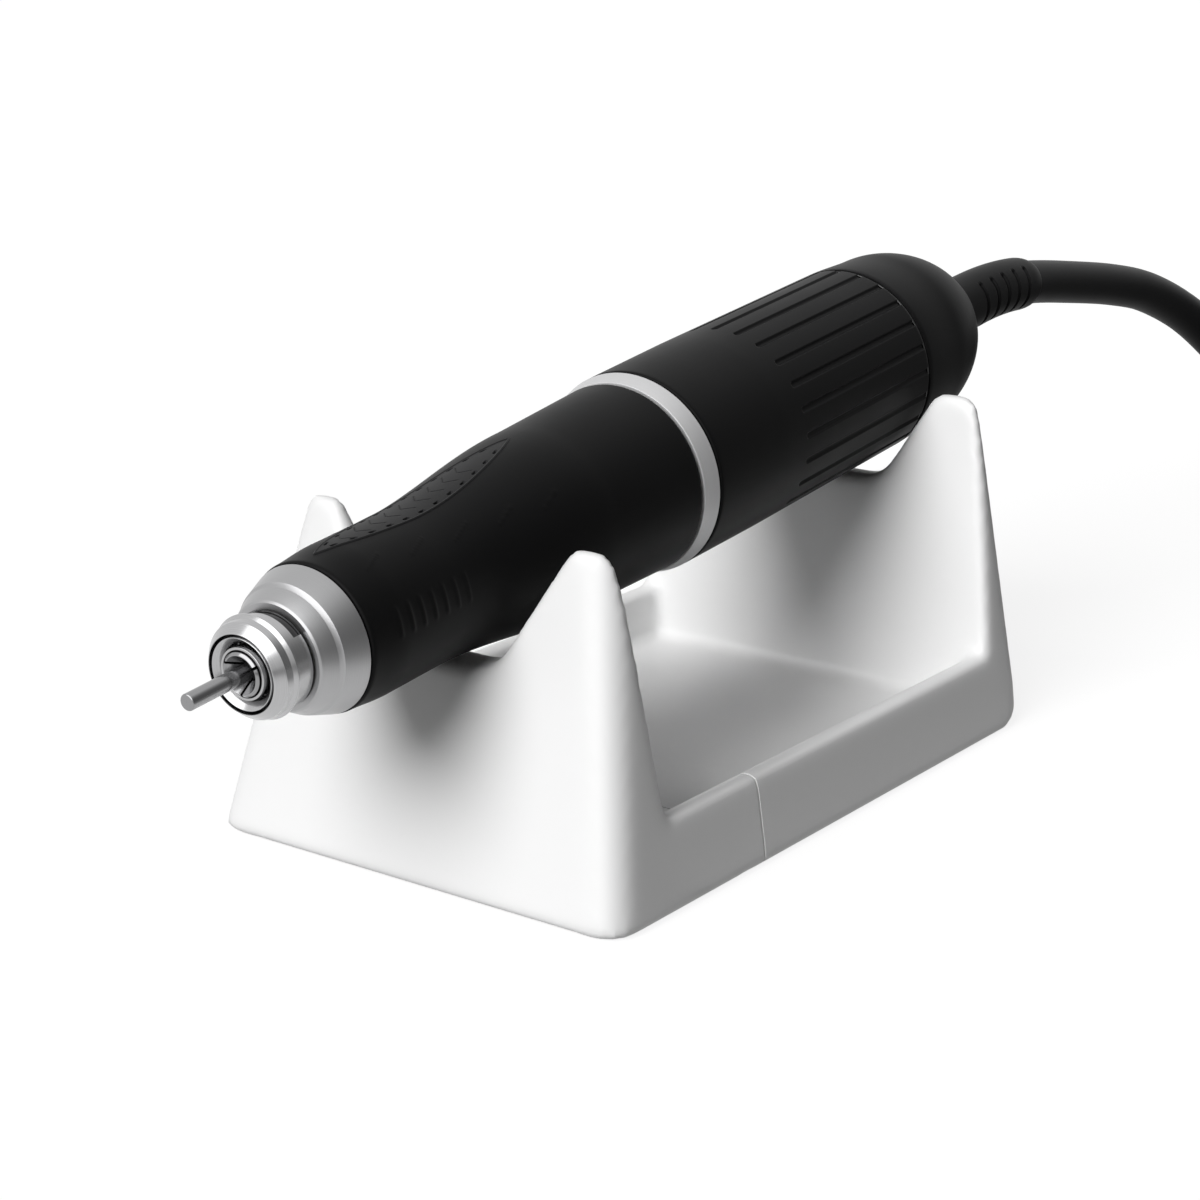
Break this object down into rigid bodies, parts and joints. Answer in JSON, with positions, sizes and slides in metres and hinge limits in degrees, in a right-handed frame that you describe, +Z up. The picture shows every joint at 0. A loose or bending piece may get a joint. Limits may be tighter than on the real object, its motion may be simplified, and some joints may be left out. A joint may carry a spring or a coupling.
{
  "type": "dental micromotor handpiece",
  "caption": "Straight dental micromotor handpiece with a soft waisted grip, fluted chuck sleeve and domed rear cap, resting in a notched two-ended bench cradle, its cord coiled behind.",
  "frame": {"origin": "on the table plane, at the centre of the cradle's footprint", "axes": "+Z up, +X from the nose towards the cord along the cradle's length, +Y to the far side of the picture"},
  "size_m": [0.4621, 0.0993, 0.0728],
  "materials": {
    "cradle_white": "smooth satin moulding",
    "soft_black": "fine matt soft-touch",
    "pad_black": "matt",
    "cord_jacket": "smooth satin",
    "satin_aluminium": "fine turned, satin",
    "polished_steel": "turned and ground",
    "brass": "turned",
    "magnet": "ground",
    "lamination": "stacked sheet edges",
    "copper_winding": "varnished wire",
    "board_green": "solder mask",
    "nylon": "natural",
    "cage_brown": "phenolic"
  },
  "bodies": {
    "cradle": {"cradle_front": "cradle_white", "cradle_rear": "cradle_white", "cord_coil": "cord_jacket", "cord_tail": "cord_jacket", "plug_body": "soft_black", "plug_shell": "satin_aluminium", "plug_core": "nylon"},
    "housing": {"nose_insert": "polished_steel", "nose_ring": "polished_steel", "nose_cone": "satin_aluminium", "spindle_housing": "satin_aluminium", "grip_sleeve": "soft_black", "grip_pad": "pad_black", "mid_ring": "satin_aluminium", "sleeve_washer": "polished_steel", "motor_housing": "satin_aluminium", "rear_cap": "soft_black", "strain_relief": "soft_black", "cord": "cord_jacket", "front_bearing_outer": "polished_steel", "rear_bearing_outer": "polished_steel", "motor_front_bearing_outer": "polished_steel", "motor_rear_bearing_outer": "polished_steel", "preload_washer": "polished_steel", "front_bearing_clamp": "polished_steel", "rear_bearing_clamp": "polished_steel", "front_end_bell": "satin_aluminium", "rear_end_bell": "satin_aluminium", "stator_core": "lamination", "stator_winding": "copper_winding", "sensor_board": "board_green"},
    "spindle": {"spindle": "polished_steel", "spindle_tail": "polished_steel", "chuck_spring": "polished_steel", "front_bearing_inner": "polished_steel", "rear_bearing_inner": "polished_steel", "coupling_disc": "nylon", "motor_hub": "polished_steel", "motor_shaft": "polished_steel", "rotor_magnet": "magnet", "motor_front_bearing_inner": "polished_steel", "motor_rear_bearing_inner": "polished_steel"},
    "bearing_cages": {"front_ball_cage": "cage_brown", "rear_ball_cage": "cage_brown", "motor_front_ball_cage": "cage_brown", "motor_rear_ball_cage": "cage_brown"},
    "chuck_sleeve": {"twist_sleeve": "soft_black", "cam_ring": "polished_steel"},
    "pusher": {"collet_pusher": "brass", "release_pin_top": "polished_steel", "release_pin_bottom": "polished_steel"},
    "collet": {"collet": "polished_steel", "drawbar": "polished_steel", "spring_nut": "brass", "release_collar": "polished_steel", "cross_pin": "polished_steel"},
    "mandrel": {"mandrel": "polished_steel"}
  },
  "joints": [
    {"name": "handpiece_lift", "type": "slide", "parent": "cradle", "child": "housing", "axis": [0, 0, 1], "range_m": [0, 0.04]},
    {"name": "spindle_spin", "type": "hinge", "parent": "housing", "child": "spindle", "pos_m": [-0.09377, 0, 0.03997], "axis": [0.9944, 0, 0.1059], "continuous": true},
    {"name": "cage_spin", "type": "hinge", "parent": "housing", "child": "bearing_cages", "pos_m": [-0.09377, 0, 0.03997], "axis": [0.9944, 0, 0.1059], "continuous": true},
    {"name": "chuck_twist", "type": "hinge", "parent": "housing", "child": "chuck_sleeve", "pos_m": [-0.09377, 0, 0.03997], "axis": [0.9944, 0, 0.1059], "range_deg": [0, 40]},
    {"name": "pusher_slide", "type": "slide", "parent": "housing", "child": "pusher", "axis": [-0.9944, 0, -0.1059], "range_m": [0, 0.0008]},
    {"name": "collet_slide", "type": "slide", "parent": "spindle", "child": "collet", "axis": [-0.9944, 0, -0.1059], "range_m": [0, 0.0008]},
    {"name": "mandrel_pull", "type": "slide", "parent": "collet", "child": "mandrel", "axis": [-0.9944, 0, -0.1059], "range_m": [0, 0.024]}
  ],
  "couplings": [
    {"joint": "cage_spin", "follows": "spindle_spin", "ratio": 0.41},
    {"joint": "pusher_slide", "follows": "chuck_twist", "m_per_rad": 0.0011459},
    {"joint": "collet_slide", "follows": "chuck_twist", "m_per_rad": 0.0011459}
  ]
}
